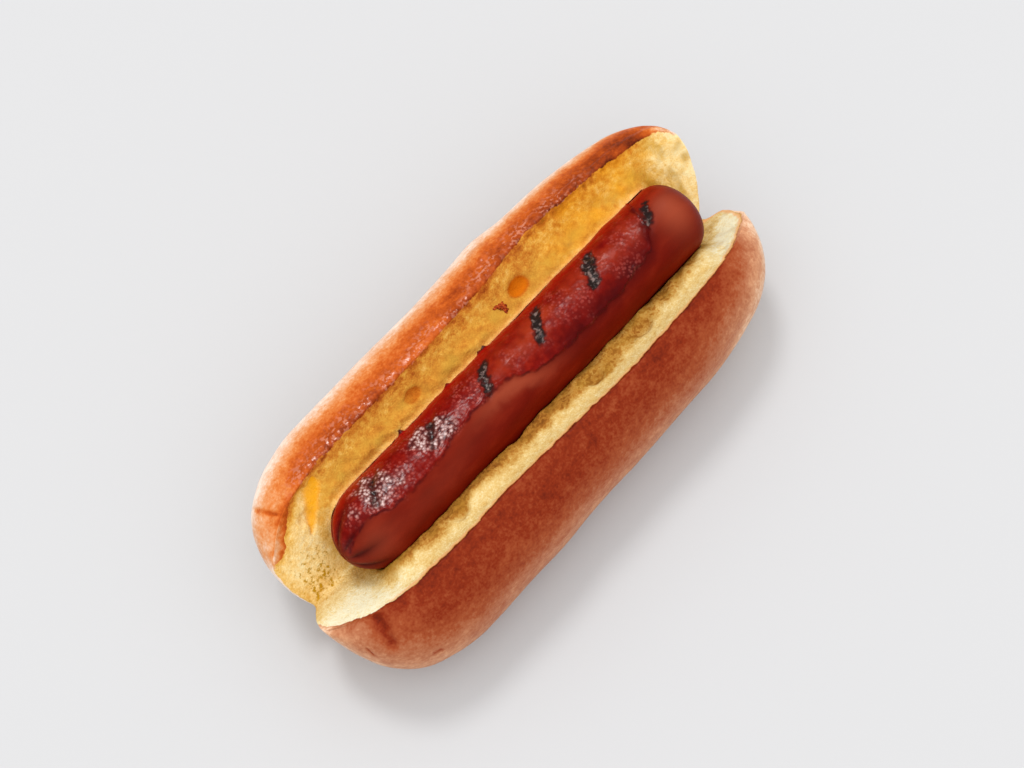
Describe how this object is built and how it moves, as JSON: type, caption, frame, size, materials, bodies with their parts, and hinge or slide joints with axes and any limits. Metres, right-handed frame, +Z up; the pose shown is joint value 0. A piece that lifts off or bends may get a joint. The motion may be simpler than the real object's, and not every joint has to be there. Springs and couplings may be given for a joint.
{
  "type": "hot dog",
  "caption": "Grilled sausage resting in a toasted brioche bun cut along its top and opened like a V, lying on the bun's flat base.",
  "frame": {"origin": "centre of the bun's outline seen from above, at the level of its flat base", "axes": "+X along the bun and the sausage, towards the sausage's smooth end; +Y towards the bun's wide, flat toasted half; +Z up"},
  "size_m": [0.153, 0.0696, 0.0385],
  "materials": {
    "bun": "baked brioche: satin brown crust outside, toasted open crumb on the two cut faces",
    "sausage": "glossy, oily, red-brown grilled skin with charred bar marks and small blisters"
  },
  "bodies": {
    "root": {"bun": "bun", "sausage": "sausage"}
  },
  "joints": []
}
